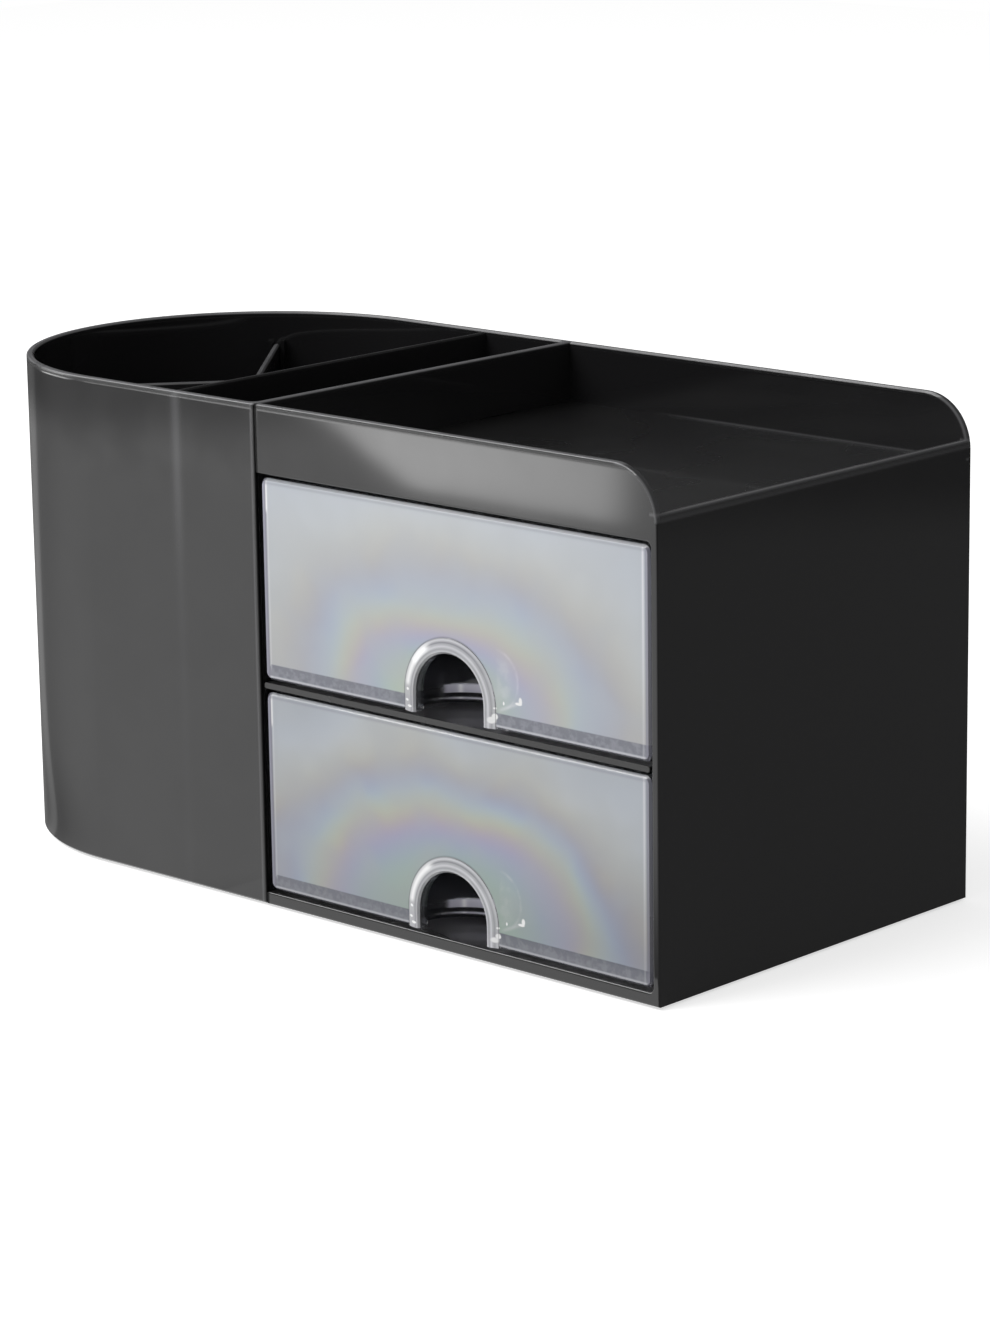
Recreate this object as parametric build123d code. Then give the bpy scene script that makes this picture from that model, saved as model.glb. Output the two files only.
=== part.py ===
from build123d import *
import math
import os

# Desk organizer: half-round pen cup at the left, two-drawer cabinet with a tray on top at the right.
# Millimetres. X runs along the front to the right, Y to the back, Z up.
# The origin is the middle of the footprint on the desk surface.

# Overall size
length = 256.0
depth = 120.0
body_height = 130.0
cabinet_width = 133.0
pad_drop = 0.8

# Walls of the two black mouldings
wall = 2.0
cup_floor = 2.2
base_thickness = 3.2
rim_round = 0.6
rim_inner_bevel = 0.5
seam_round = 0.5
back_bevel = 0.5
foot_bevel = 0.5
pocket_corner = 2.0

# Pen cup
slot_width = 28.7
slot_divider_wall = 1.6
slot_divider_drop = 0.5

# Partition in the round part of the cup
partition_wall = 1.6
partition_drop = 9.0
partition_junction = 1.35
partition_half_angle = 50.0
partition_hub_radius = 2.2
partition_clearance = 0.3
partition_top_bevel = 0.4
channel_rib_wall = 1.2
channel_rib_depth = 2.2
channel_rib_rise = 1.0

# Tray on top of the cabinet
tray_depth = 16.0
tray_floor = 1.6
end_lip_height = 5.0
rim_corner_radius = 13.5

# Drawer bays
bay_corner = 1.5
bay_edge_round = 0.5
shelf_thickness = 1.5
shelf_end_gap = 1.0
shelf_front_setback = 0.4
shelf_corner = 0.6

# Ledges and tabs that carry the shelf and the tray floor
ledge_depth = 3.2
ledge_wall = 1.6
ledge_setback = 4.5
tab_length = 9.0
tab_reach = 1.9
tab_wall = 1.1
tab_clearance = 0.15
tab_inset = 24.0
rear_rib_depth = 1.6
rear_rib_wall = 1.5

# Tongues that plug the cabinet into the cup
tongue_width = 14.0
tongue_spacing = 60.0
tongue_clearance = 0.15
hook_rise = 1.5
hook_depth = 1.6
hook_lift = 0.3

# Drawers
drawer_side_gap = 1.0
drawer_top_gap = 1.05
drawer_back_gap = 0.8
drawer_front_setback = 0.8
skid_height = 0.65
skid_width = 1.8
skid_inset = 14.0
skid_round = 0.35
skid_clearance = 0.15
front_thickness = 2.4
front_corner = 2.0
front_edge_bevel = 0.6
bin_inset = 1.2
bin_wall = 1.6
bin_floor = 2.0
bin_front_step = 3.0
bin_corner = 4.0
bin_rim_bevel = 0.4

# Finger opening and hood of a drawer
arch_radius = 11.35
arch_leg = 5.0
ring_width = 3.8
ring_rise = 0.75
ring_slope_width = 2.2
ring_slope_depth = 0.6
ring_inner_bevel = 0.5
hood_wall = 1.4
hood_flare = 1.6

# Foot pads
pad_radius = 4.5
pad_recess = 0.8
pad_recess_clearance = 0.25
pad_inset = 14.0
pad_cup_reach = 24.0
pad_cup_side = 34.0

# How far pieces of one moulding run into each other, cutters run past faces, and edges are looked for
weld = 0.5
overrun = 1.0
near = 0.01

# Positions that follow from the sizes
left_x = -length / 2
right_x = length / 2
front_y = -depth / 2
back_y = depth / 2
under_z = pad_drop
rim_z = under_z + body_height
end_radius = depth / 2
end_x = left_x + end_radius
seam_x = right_x - cabinet_width
cup_wall_x = seam_x - wall
divider_right_x = cup_wall_x - slot_width
divider_left_x = divider_right_x - slot_divider_wall
cup_floor_z = under_z + cup_floor
partition_top_z = rim_z - partition_drop
junction_x = end_x + partition_junction
tray_floor_z = rim_z - tray_depth
bay_top_z = tray_floor_z - tray_floor
lip_z = tray_floor_z + end_lip_height
base_z = under_z + base_thickness
bay_right_x = right_x - wall
bay_height = (bay_top_z - base_z - shelf_thickness) / 2
shelf_under_z = base_z + bay_height
shelf_z = shelf_under_z + shelf_thickness
inner_back_y = back_y - wall
ledge_front_y = front_y + ledge_setback

drawer_middle_x = (seam_x + bay_right_x) / 2
front_width = bay_right_x - seam_x - 2 * drawer_side_gap
front_height = bay_height - skid_height - skid_clearance - drawer_top_gap
bin_width = front_width - 2 * bin_inset
bin_height = front_height - bin_front_step
plate_back_y = front_y + drawer_front_setback + front_thickness
bin_back_y = inner_back_y - drawer_back_gap


def block(x0, x1, y0, y1, z0, z1):
    """Rectangular block between two opposite corners."""
    middle = Pos((x0 + x1) / 2, (y0 + y1) / 2, (z0 + z1) / 2)
    return middle * Box(x1 - x0, y1 - y0, z1 - z0)


def along_y(profile, y0, y1):
    """Extrude a profile drawn in X and Z from y0 to y1."""
    return extrude(Plane.XZ.offset(-y1) * profile, amount=y1 - y0)


def top_face(part):
    """The highest flat face of a part."""
    return part.faces().sort_by(Axis.Z)[-1]


def upright(profile, z0, z1):
    """Extrude a plan drawn in X and Y from z0 to z1."""
    return extrude(Pos(0, 0, z0) * profile, amount=z1 - z0)


def rounded_rectangle(x0, x1, y0, y1, radius):
    """Rectangle between two corners with every corner rounded."""
    return Pos((x0 + x1) / 2, (y0 + y1) / 2) * RectangleRounded(x1 - x0, y1 - y0, radius)


def edges_at_height(part, z):
    """Edges of a part that lie flat at one height."""
    return part.edges().filter_by_position(Axis.Z, z - near, z + near)


def edges_at_front(part, y):
    """Edges of a part that lie in one plane square to Y."""
    return part.edges().filter_by_position(Axis.Y, y - near, y + near)


def cup_plan(inset, right, corner):
    """Plan of the cup: a half circle at the left, straight sides, and a flat right end."""
    r = end_radius - inset
    outline = Line((end_x, -r), (right, -r)) + Line((right, -r), (right, r)) + Line((right, r), (end_x, r))
    outline += ThreePointArc((end_x, r), (end_x - r, 0), (end_x, -r))
    plan = make_face(outline)
    corners = plan.vertices().sort_by(Axis.X)[-2:]
    return fillet(corners, corner)


def reach_to_cup_wall(angle):
    """Distance from the partition's junction to the inside of the half-round wall."""
    r = end_radius - wall
    along = (junction_x - end_x) * math.cos(angle)
    return -along + math.sqrt(along * along - (junction_x - end_x) ** 2 + r * r)


def partition_arms():
    """Angle and reach of the partition's three arms: two to the round wall, one to the slot divider."""
    arms = []
    for side in (-1, 1):
        angle = math.radians(180 + side * partition_half_angle)
        arms.append((angle, reach_to_cup_wall(angle)))
    arms.append((0.0, divider_left_x - junction_x))
    return arms


def channel_ribs():
    """A pair of upright ribs on the cup wall at the end of each partition arm."""
    top = partition_top_z + channel_rib_rise
    offset = partition_wall / 2 + partition_clearance + channel_rib_wall / 2
    ribs = []
    for angle, reach in partition_arms():
        x0 = reach - channel_rib_depth
        x1 = reach + weld
        for side in (-1, 1):
            plan = Pos((x0 + x1) / 2, side * offset) * Rectangle(x1 - x0, channel_rib_wall)
            turned = Pos(junction_x, 0) * Rot(0, 0, math.degrees(angle)) * plan
            ribs.append(upright(turned, cup_floor_z - weld, top))
    return ribs


def slot_divider():
    """Fixed wall across the cup with a rounded top edge."""
    x0 = divider_left_x
    x1 = divider_right_x
    top = rim_z - slot_divider_drop
    bottom = cup_floor_z - weld
    profile = Pos((x0 + x1) / 2, (bottom + top) / 2) * Rectangle(x1 - x0, top - bottom)
    corners = profile.vertices().sort_by(Axis.Y)[-2:]
    profile = fillet(corners, min(rim_round, 0.4 * slot_divider_wall))
    return along_y(profile, front_y + wall - weld, inner_back_y + weld)


def wall_ledge(x_wall, direction, z_top):
    """Ledge along a side wall that carries a plate whose underside is at z_top."""
    x0, x1 = sorted((x_wall - direction * weld, x_wall + direction * ledge_depth))
    return block(x0, x1, ledge_front_y, inner_back_y, z_top - ledge_wall, z_top)


def shelf_tabs(x_wall, direction):
    """Two short tabs on a side wall that keep the shelf down on its ledge."""
    x0, x1 = sorted((x_wall - direction * weld, x_wall + direction * tab_reach))
    z0 = shelf_z + tab_clearance
    tabs = []
    for y in (front_y + tab_inset, back_y - tab_inset):
        tabs.append(block(x0, x1, y - tab_length / 2, y + tab_length / 2, z0, z0 + tab_wall))
    return tabs


def tongue_middles():
    """Y positions of the tongues between the two mouldings."""
    return (-tongue_spacing / 2, tongue_spacing / 2)


def tongue_slots():
    """Openings in the cup's flat wall for the tongues of the cabinet."""
    half = tongue_width / 2 + tongue_clearance
    x0 = cup_wall_x - overrun
    slots = []
    for y in tongue_middles():
        for z0, z1 in ((bay_top_z, tray_floor_z), (base_z + hook_lift, base_z + hook_rise)):
            bottom = z0 - tongue_clearance
            top = z1 + tongue_clearance
            slots.append(block(x0, seam_x + near, y - half, y + half, bottom, top))
    return slots


def pad_centres():
    """Plan positions of the four foot pads by name."""
    return {
        "front_left": (end_x - pad_cup_reach, -pad_cup_side),
        "front_right": (right_x - pad_inset, front_y + pad_inset),
        "back_left": (end_x - pad_cup_reach, pad_cup_side),
        "back_right": (right_x - pad_inset, back_y - pad_inset),
    }


def pad_recesses(side):
    """Shallow round recesses in the underside for the pads of one moulding."""
    cuts = []
    for name, (x, y) in pad_centres().items():
        if name.endswith(side):
            disc = Pos(x, y) * Circle(pad_radius + pad_recess_clearance)
            cuts.append(upright(disc, under_z - overrun, under_z + pad_recess))
    return cuts


def make_pen_cup():
    """Half-round cup with its flat wall, the slot divider and the ledges for the cabinet."""
    cup = upright(cup_plan(0, seam_x, seam_round), under_z, rim_z)
    cup -= upright(cup_plan(wall, cup_wall_x, pocket_corner), cup_floor_z, rim_z + overrun)
    cup = chamfer(top_face(cup).inner_wires()[0].edges(), rim_inner_bevel)
    cup = fillet(top_face(cup).outer_wire().edges(), rim_round)
    cup = chamfer(edges_at_height(cup, under_z), foot_bevel)
    cup += slot_divider()
    for rib in channel_ribs():
        cup += rib
    cup += wall_ledge(seam_x, 1, bay_top_z)
    cup += wall_ledge(seam_x, 1, shelf_under_z)
    for tab in shelf_tabs(seam_x, 1):
        cup += tab
    rib_y1 = inner_back_y - partition_clearance
    rib_y0 = rib_y1 - rear_rib_wall
    for z0, z1 in ((base_z + hook_rise, shelf_under_z), (shelf_z + partition_clearance, bay_top_z)):
        cup += block(seam_x - weld, seam_x + rear_rib_depth, rib_y0, rib_y1, z0, z1)
    for slot in tongue_slots():
        cup -= slot
    for cut in pad_recesses("left"):
        cup -= cut
    return cup


def make_pen_partition():
    """Y-shaped upright partition with a round hub, standing in the channels of the cup."""
    plan = Pos(junction_x, 0) * Circle(partition_hub_radius)
    for angle, reach in partition_arms():
        arm = reach - partition_clearance
        leaf = Pos(arm / 2, 0) * Rectangle(arm, partition_wall)
        plan += Pos(junction_x, 0) * Rot(0, 0, math.degrees(angle)) * leaf
    partition = upright(plan, cup_floor_z + partition_clearance, partition_top_z)
    return chamfer(edges_at_height(partition, partition_top_z), partition_top_bevel)


def cabinet_side_profile():
    """Front view outline of the cabinet: a rectangle whose top right corner is rounded."""
    top = rim_z
    r = rim_corner_radius
    corner = CenterArc((right_x - r, top - r), r, 0, 90)
    outline = Line((seam_x, under_z), (right_x, under_z)) + Line((right_x, under_z), (right_x, top - r))
    outline += corner
    outline += Line((right_x - r, top), (seam_x, top)) + Line((seam_x, top), (seam_x, under_z))
    return make_face(outline)


def bay_profile():
    """Front view outline of the space for the drawers and the shelf, open towards the cup."""
    x0 = seam_x - wall
    middle = Pos((x0 + bay_right_x) / 2, (base_z + bay_top_z) / 2)
    outline = middle * Rectangle(bay_right_x - x0, bay_top_z - base_z)
    return fillet(outline.vertices().sort_by(Axis.X)[-2:], bay_corner)


def in_front_view(edges, x0, x1, z0, z1):
    """Those edges whose middle lies inside a rectangle of the front view."""
    kept = edges.filter_by_position(Axis.X, x0 - near, x1 + near)
    return kept.filter_by_position(Axis.Z, z0 - near, z1 + near)


def tongues():
    """Tongues on the left edges of the tray floor and base that enter the slots of the cup."""
    half = tongue_width / 2
    pieces = []
    for y in tongue_middles():
        y0 = y - half
        y1 = y + half
        pieces.append(block(cup_wall_x, seam_x + wall, y0, y1, bay_top_z, tray_floor_z))
        pieces.append(block(seam_x, seam_x + hook_depth, y0, y1, base_z - weld, base_z + hook_rise))
        hook_z = base_z + hook_lift
        pieces.append(block(cup_wall_x, seam_x + hook_depth, y0, y1, hook_z, base_z + hook_rise))
    return pieces


def end_lip():
    """Low lip with a rounded top across the open end of the tray."""
    z0 = tray_floor_z - tray_floor
    profile = Pos(right_x - wall / 2, (z0 + lip_z) / 2) * Rectangle(wall, lip_z - z0)
    profile = fillet(profile.vertices().sort_by(Axis.Y)[-2:], rim_round)
    return along_y(profile, front_y + wall - rim_round, inner_back_y + rim_round)


def make_cabinet_shell():
    """Cabinet moulding: base, back, right wall, tray floor, tray walls and end lip."""
    shell = along_y(cabinet_side_profile(), front_y, back_y)
    shell = fillet(edges_at_front(shell, front_y), seam_round)
    shell = chamfer(edges_at_front(shell, back_y), back_bevel)
    x0 = seam_x - overrun
    x1 = right_x + overrun
    shell -= block(x0, x1, front_y + wall, inner_back_y, tray_floor_z, rim_z + overrun)
    rim_x0 = seam_x + weld
    for y in (front_y + wall, inner_back_y):
        rim_edges = in_front_view(edges_at_front(shell, y), rim_x0, right_x, tray_floor_z + weld, rim_z)
        shell = chamfer(rim_edges, rim_inner_bevel)
    shell += end_lip()
    shell -= along_y(bay_profile(), front_y - overrun, inner_back_y)
    mouth = in_front_view(edges_at_front(shell, front_y), seam_x + weld, bay_right_x, base_z, bay_top_z)
    shell = fillet(mouth, bay_edge_round)
    shell += wall_ledge(bay_right_x, -1, shelf_under_z)
    for tab in shelf_tabs(bay_right_x, -1):
        shell += tab
    ledge_y = inner_back_y - ledge_depth
    ledge_z = shelf_under_z - ledge_wall
    x0 = seam_x + ledge_depth + partition_clearance
    shell += block(x0, bay_right_x + weld, ledge_y, inner_back_y + weld, ledge_z, shelf_under_z)
    for tongue in tongues():
        shell += tongue
    for cut in pad_recesses("right"):
        shell -= cut
    return shell


def make_middle_shelf():
    """Plate between the two drawers, lying on the ledges of both side walls."""
    x0 = seam_x + shelf_end_gap
    x1 = bay_right_x - shelf_end_gap
    y0 = front_y + shelf_front_setback
    y1 = inner_back_y - partition_clearance
    profile = rounded_rectangle(x0, x1, shelf_under_z, shelf_z, shelf_corner)
    return along_y(profile, y0, y1)


def hood_profile(radius, drop, flare):
    """Half section of the hood in r and z: a foot that flares into the floor, a leg, a quarter circle."""
    corners = [(0, -drop), (radius + flare, -drop), (radius + flare, bin_floor)]
    corners += [(radius, bin_floor + flare), (radius, arch_leg)]
    if flare == 0:
        corners = [(0, -drop), (radius, -drop), (radius, arch_leg)]
    outline = Polyline(*corners) + CenterArc((0, arch_leg), radius, 0, 90)
    outline += Line((0, arch_leg + radius), (0, -drop))
    return make_face(outline)


def half_dome(radius, z, drop, flare):
    """Half of a domed round post behind the front plate: the hood profile turned half a turn."""
    profile = Plane.XZ * hood_profile(radius, drop, flare)
    return Pos(drawer_middle_x, plate_back_y, z) * revolve(profile, Axis.Z, 180)


def arch_profile(radius, z, drop):
    """Arched opening in the front view, run down by drop below the drawer's lower edge."""
    x = drawer_middle_x
    bend = CenterArc((x, z + arch_leg), radius, 0, 180)
    outline = Line((x - radius, z - drop), (x + radius, z - drop))
    outline += Line((x + radius, z - drop), (x + radius, z + arch_leg)) + bend
    outline += Line((x - radius, z + arch_leg), (x - radius, z - drop))
    return make_face(outline)


def bin_plan(inset, y0):
    """Plan of the drawer's bin: square at the front, round corners at the back."""
    half = bin_width / 2 - inset
    x = drawer_middle_x
    y1 = bin_back_y - inset
    plan = Pos(x, (y0 + y1) / 2) * Rectangle(2 * half, y1 - y0)
    corners = plan.vertices().sort_by(Axis.Y)[-2:]
    return fillet(corners, bin_corner - inset)


def drawer_bin(z0):
    """Open box behind the front plate, with a bevelled rim."""
    top = z0 + bin_height
    tub = upright(bin_plan(0, plate_back_y - front_thickness / 2), z0, top)
    tub -= upright(bin_plan(bin_wall, plate_back_y - front_thickness), z0 + bin_floor, top + overrun)
    rim = edges_at_height(tub, top).filter_by_position(Axis.Y, plate_back_y, bin_back_y)
    return chamfer(rim, bin_rim_bevel)


def drawer_skids(z0):
    """Two ribs under the bin that the drawer slides on."""
    half = bin_width / 2 - skid_inset
    y0 = plate_back_y + skid_inset
    y1 = bin_back_y - bin_corner
    skids = []
    for side in (-1, 1):
        x = drawer_middle_x + side * half
        profile = Pos(x, z0 - skid_height / 2) * Rectangle(skid_width, skid_height)
        profile = fillet(profile.vertices().sort_by(Axis.Y)[:2], skid_round)
        skids.append(along_y(profile, y0, y1))
    return skids


def finger_ring(z0):
    """Raised bead round the finger opening with a wide outer slope, as deep as the plate behind it."""
    bead_front_y = front_y + drawer_front_setback - ring_rise
    outside = along_y(arch_profile(arch_radius + ring_width, z0, 0), bead_front_y, plate_back_y)
    front = outside.faces().sort_by(Axis.Y)[0]
    slope_depth = min(ring_slope_depth, 0.9 * ring_rise)
    slope_width = min(ring_slope_width, 0.8 * ring_width)
    outline = front.edges().filter_by_position(Axis.Z, z0 + near, z0 + arch_leg + arch_radius + ring_width)
    outside = chamfer(outline, slope_width, slope_depth, reference=front)
    hole = along_y(arch_profile(arch_radius, z0, overrun), bead_front_y - overrun, plate_back_y + near)
    ring = outside - hole
    left = drawer_middle_x - arch_radius
    right = drawer_middle_x + arch_radius
    crown = z0 + arch_leg + arch_radius
    inner = in_front_view(edges_at_front(ring, bead_front_y), left, right, z0 + weld, crown)
    return chamfer(inner, min(ring_inner_bevel, 0.15 * ring_width))


def make_drawer(seat_z):
    """One clear drawer moulding, standing on its skids at seat_z."""
    z0 = seat_z + skid_clearance + skid_height
    half = front_width / 2
    plate_front_y = plate_back_y - front_thickness
    hood_radius = arch_radius + ring_width
    x0 = drawer_middle_x - half
    plate = rounded_rectangle(x0, x0 + front_width, z0, z0 + front_height, front_corner)
    drawer = along_y(plate, plate_front_y, plate_back_y)
    drawer = chamfer(edges_at_front(drawer, plate_front_y), front_edge_bevel)
    drawer += drawer_bin(z0)
    drawer += half_dome(hood_radius + hood_wall, z0, 0, hood_flare)
    drawer -= half_dome(hood_radius, z0, overrun, 0)
    drawer -= along_y(arch_profile(arch_radius, z0, overrun), plate_front_y - overrun, plate_back_y + near)
    drawer += finger_ring(z0)
    for skid in drawer_skids(z0):
        drawer += skid
    return drawer


def make_foot_pad(x, y):
    """Low round pad, cut square from rubber sheet."""
    return upright(Pos(x, y) * Circle(pad_radius), 0, pad_drop + pad_recess)


def write(name, part):
    """Write one sub-part to its own file."""
    export_step(part, os.path.join("parts", name + ".step"))
    print(name, len(part.solids()), round(part.volume))


os.makedirs("parts", exist_ok=True)
write("pen_cup", make_pen_cup())
write("pen_partition", make_pen_partition())
write("cabinet_shell", make_cabinet_shell())
write("middle_shelf", make_middle_shelf())
write("upper_drawer", make_drawer(shelf_z))
write("lower_drawer", make_drawer(base_z))
for pad_name, (pad_x, pad_y) in pad_centres().items():
    write("foot_pad_" + pad_name, make_foot_pad(pad_x, pad_y))
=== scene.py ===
import math

import bpy
import numpy as np
from mathutils import Matrix, Vector


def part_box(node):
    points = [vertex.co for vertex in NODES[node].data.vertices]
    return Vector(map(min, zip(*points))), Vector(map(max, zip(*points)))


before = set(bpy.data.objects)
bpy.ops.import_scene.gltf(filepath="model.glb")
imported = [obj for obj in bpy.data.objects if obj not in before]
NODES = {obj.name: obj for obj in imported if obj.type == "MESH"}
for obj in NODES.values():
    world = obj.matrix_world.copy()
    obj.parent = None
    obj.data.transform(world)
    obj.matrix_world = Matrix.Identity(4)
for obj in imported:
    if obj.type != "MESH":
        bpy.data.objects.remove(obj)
bpy.context.view_layer.update()

# Places on the object, in metres: its boxes come from model.glb, and the other sizes repeat those of the part
CUP_LOW, CUP_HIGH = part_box("pen_cup")
UPPER_LOW, UPPER_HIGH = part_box("upper_drawer")
LOWER_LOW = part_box("lower_drawer")[0]
RIGHT_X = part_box("cabinet_shell")[1].x
FRONT_Y = CUP_LOW.y
BACK_Y = -FRONT_Y
RIM_Z = CUP_HIGH.z
CUP_RADIUS = CUP_HIGH.y
CUP_AXIS_X = -0.068
SEAM_X = UPPER_LOW.x - 0.001
RIB_X = -0.0337
SINK_WIDTH = 0.0032
CORNER_RADIUS = 0.0135
CORNER_X = RIGHT_X - CORNER_RADIUS

# How far parts of the mouldings lie below the rim
PARTITION_DROP = 0.009
LIP_DROP = 0.011
TRAY_DROP = 0.016

# The drawer fronts: the plate, the arch of its finger opening and the hood behind it
BEAD_PROUD = 0.00075
PLATE_THICKNESS = 0.0024
PLATE_BACK_Y = UPPER_LOW.y + BEAD_PROUD + PLATE_THICKNESS
HOOD_BACK_Y = PLATE_BACK_Y + 0.016
SKID_HEIGHT = 0.00065
PLATE_HEIGHT = UPPER_HIGH.z - UPPER_LOW.z - SKID_HEIGHT
PLATE_LEFT = UPPER_LOW.x
PLATE_RIGHT = UPPER_HIGH.x
ARCH_X = (PLATE_LEFT + PLATE_RIGHT) / 2
ARCH_LEG = 0.005
BEAD_REACH = 0.01515
SHOULDER_ASIDE = 0.0149
SHOULDER_HEIGHT = 0.0122

# The photographed view: angles in degrees, distance in metres, lens in millimetres
AZIMUTH = 43.139
ELEVATION = 13.599
ROLL = -0.836
DISTANCE = 1.14793
FOCAL_LENGTH = 120.79
AIM = Vector((0.02017, 0.0, 0.0577))


def direction_to(azimuth, elevation):
    """Unit vector towards a place round the object, from two angles in degrees: azimuth 0 lies in front of it and
    90 to its right."""
    a, e = math.radians(azimuth), math.radians(elevation)
    return Vector((math.sin(a) * math.cos(e), -math.cos(a) * math.cos(e), math.sin(e)))


# Steps that the materials are built from

def add(tree, kind, inputs=None, **settings):
    """A new shader node: settings are its properties, and inputs maps a socket to a value or another socket."""
    node = tree.nodes.new(kind)
    for name, value in settings.items():
        setattr(node, name, value)
    for name, value in (inputs or {}).items():
        if isinstance(value, bpy.types.NodeSocket):
            tree.links.new(value, node.inputs[name])
        else:
            node.inputs[name].default_value = value
    return node


def maths(tree, operation, a, b=0.0, c=0.0):
    """The value of one arithmetic step on up to three sockets or numbers."""
    return add(tree, "ShaderNodeMath", {0: a, 1: b, 2: c}, operation=operation).outputs[0]


def plus(tree, a, b):
    """a plus b."""
    return maths(tree, "ADD", a, b)


def minus(tree, a, b):
    """a minus b."""
    return maths(tree, "SUBTRACT", a, b)


def times(tree, a, b):
    """a times b."""
    return maths(tree, "MULTIPLY", a, b)


def over(tree, a, b):
    """a divided by b."""
    return maths(tree, "DIVIDE", a, b)


def times_plus(tree, a, b, c):
    """a times b, plus c."""
    return maths(tree, "MULTIPLY_ADD", a, b, c)


def square_sum(tree, a, b):
    """a squared plus b squared."""
    return times_plus(tree, a, a, times(tree, b, b))


def reach_of(tree, a, b):
    """The distance that a and b make at right angles: the square root of the sum of their squares."""
    return maths(tree, "SQRT", square_sum(tree, a, b))


def ramp(tree, value, low, high, out_low=0.0, out_high=1.0):
    """A smooth step: out_low below low, out_high above high, and an S-curve between them."""
    node = add(tree, "ShaderNodeMapRange",
               {"Value": value, "From Min": low, "From Max": high, "To Min": out_low, "To Max": out_high},
               interpolation_type="SMOOTHSTEP")
    return node.outputs["Result"]


def fall(tree, value, low, high):
    """A smooth step down: 1 below low and 0 above high."""
    return ramp(tree, value, low, high, 1.0, 0.0)


def turn_ramp(tree, turn, low, high, out_low=0.0, out_high=1.0):
    """A smooth step along a turn in radians, with its two ends given in degrees."""
    return ramp(tree, turn, math.radians(low), math.radians(high), out_low, out_high)


def line_of(tree, value, middle, half_width):
    """A soft line: 1 where the value is at the middle, falling as a bell curve to either side."""
    off = over(tree, minus(tree, value, middle), half_width)
    return maths(tree, "EXPONENT", times(tree, times(tree, off, off), -1.0))


def span_of(tree, value, low, high, soft=0.0003):
    """A soft-edged span: 1 between low and high and 0 outside."""
    return times(tree, ramp(tree, value, low - soft, low + soft), fall(tree, value, high - soft, high + soft))


def noise(tree, where, scale, detail):
    """A soft noise from 0 to 1: scale is its waves per metre, and detail the finer layers on top."""
    return add(tree, "ShaderNodeTexNoise", {"Vector": where, "Scale": scale, "Detail": detail}).outputs["Fac"]


def mix_colour(tree, factor, a, b, blend="MIX"):
    """Two colours blended by a factor."""
    node = add(tree, "ShaderNodeMix", {0: factor, 6: a, 7: b}, data_type="RGBA", blend_type=blend)
    return node.outputs[2]


def lay_over(tree, colour, layers):
    """Layers of paint laid over a colour in their order: each is a mask, its full strength and its own colour."""
    for mask, strength, paint in layers:
        colour = mix_colour(tree, times(tree, mask, strength), colour, paint)
    return colour


def place(tree):
    """The Object coordinates of the shaded point in metres, whole and as x, y and z."""
    where = add(tree, "ShaderNodeTexCoord").outputs["Object"]
    x, y, z = add(tree, "ShaderNodeSeparateXYZ", {0: where}).outputs
    return where, x, y, z


def normal_parts(tree):
    """The three parts of the surface normal."""
    normal = add(tree, "ShaderNodeNewGeometry").outputs["Normal"]
    return add(tree, "ShaderNodeSeparateXYZ", {0: normal}).outputs


def new_material(name):
    """An empty node material and its output."""
    material = bpy.data.materials.new(name)
    material.use_nodes = True
    tree = material.node_tree
    tree.nodes.clear()
    return material, tree, add(tree, "ShaderNodeOutputMaterial")


# Effects that several finishes share, as node groups

NUMBER = "NodeSocketFloat"
COLOUR = "NodeSocketColor"


def group_tree(name, inputs, outputs):
    """An empty node group, and the sockets of both its ends for use inside. inputs maps the name of each number
    that goes in to its usual value, and outputs maps the name of each result to its kind."""
    tree = bpy.data.node_groups.new(name, "ShaderNodeTree")
    for label, value in inputs.items():
        socket = tree.interface.new_socket(name=label, in_out="INPUT", socket_type=NUMBER)
        socket.default_value = value
    for label, kind in outputs.items():
        tree.interface.new_socket(name=label, in_out="OUTPUT", socket_type=kind)
    return tree, tree.nodes.new("NodeGroupInput").outputs, tree.nodes.new("NodeGroupOutput").inputs


def use_group(tree, group, **values):
    """The group placed in a material, with its own values; an underscore in a name stands for a space."""
    node = add(tree, "ShaderNodeGroup", node_tree=group)
    for name, value in values.items():
        node.inputs[name.replace("_", " ")].default_value = value
    return node.outputs


def moulded_skin_group():
    """The skin of a moulding: slow waves of the wall and a fine spark-eroded grain, as a height and a mottle."""
    tree, given, result = group_tree("moulded_skin", {"Wave Size": 0.03, "Grain Size": 0.0006, "Grain Share": 0.1},
                                     {"Height": NUMBER, "Mottle": NUMBER})
    where = place(tree)[0]
    wave = noise(tree, where, over(tree, 1.0, given["Wave Size"]), 1.0)
    grain = noise(tree, where, over(tree, 1.0, given["Grain Size"]), 2.0)
    tree.links.new(times_plus(tree, grain, given["Grain Share"], wave), result["Height"])
    tree.links.new(wave, result["Mottle"])
    return tree


def dust_group():
    """Fine dust: sparse specks where a fine noise is high, kept where the surface faces up."""
    tree, given, result = group_tree("dust", {"Amount": 0.1, "Speck Size": 0.0008}, {"Mask": NUMBER})
    specks = noise(tree, place(tree)[0], over(tree, 1.0, given["Speck Size"]), 3.0)
    spots = ramp(tree, specks, 0.62, 0.78)
    facing = ramp(tree, normal_parts(tree)[2], 0.3, 0.95)
    tree.links.new(times(tree, times(tree, spots, facing), given["Amount"]), result["Mask"])
    return tree


def rim_wear_group():
    """Handling wear: a soft band below a given height, 1 at the height and 0 a width below, broken up by noise."""
    tree, given, result = group_tree("rim_wear", {"Rim Height": 0.1, "Width": 0.001}, {"Mask": NUMBER})
    where, _, _, z = place(tree)
    share = over(tree, minus(tree, given["Rim Height"], z), given["Width"])
    broken = ramp(tree, noise(tree, where, 120.0, 2.0), 0.35, 0.6)
    tree.links.new(times(tree, fall(tree, share, 0.0, 1.0), broken), result["Mask"])
    return tree


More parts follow.
